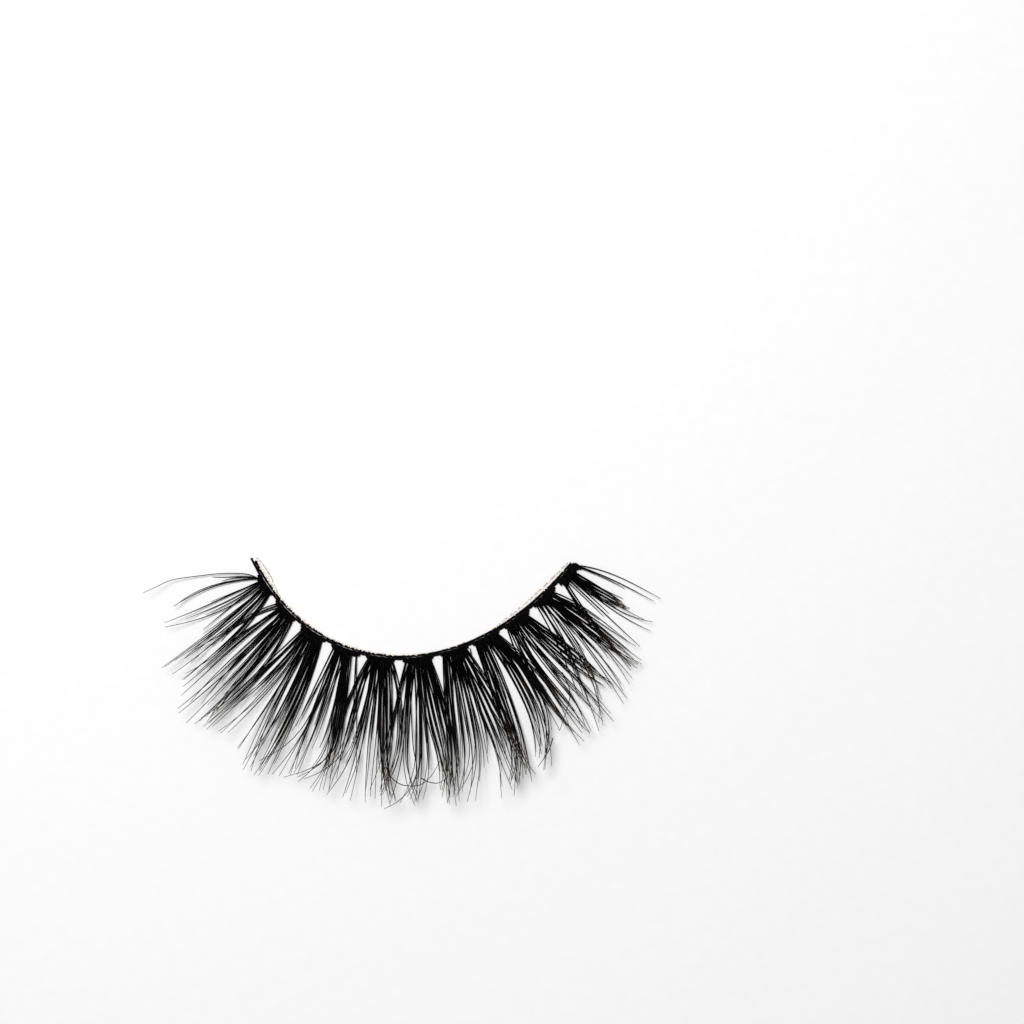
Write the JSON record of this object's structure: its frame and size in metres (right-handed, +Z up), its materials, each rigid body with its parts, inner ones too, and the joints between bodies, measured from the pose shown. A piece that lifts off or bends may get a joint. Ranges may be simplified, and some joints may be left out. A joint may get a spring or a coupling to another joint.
{
  "type": "false eyelash strip",
  "caption": "Strip of curled false eyelash hair in separate fans knotted along a thin black thread band bent to the eyelid, lying flat with its tips curling up.",
  "frame": {"origin": "underside of the band at the middle of its length, on the surface the strip lies on", "axes": "+X along the strip from its left end to its right end, +Y to the eyelid side (away from the hair), +Z up from the surface"},
  "size_m": [0.0439, 0.0218, 0.0037],
  "materials": {
    "band_thread": "black waxed cotton thread, dull with a faint grey sheen",
    "lash_hair": "black synthetic lash fibre, satin, fading to brown-grey at the fine tips",
    "dried_glue": "dried lash glue, translucent cream with brown flecks"
  },
  "bodies": {
    "root": {"band": "band_thread", "glue_film_left": "dried_glue", "glue_film_right": "dried_glue", "hair_fan_01": "lash_hair", "hair_fan_02": "lash_hair", "hair_fan_03": "lash_hair", "hair_fan_04": "lash_hair", "hair_fan_05": "lash_hair", "hair_fan_06": "lash_hair", "hair_fan_07": "lash_hair", "hair_fan_08": "lash_hair", "hair_fan_09": "lash_hair", "hair_fan_10": "lash_hair", "hair_fan_11": "lash_hair"}
  },
  "joints": []
}
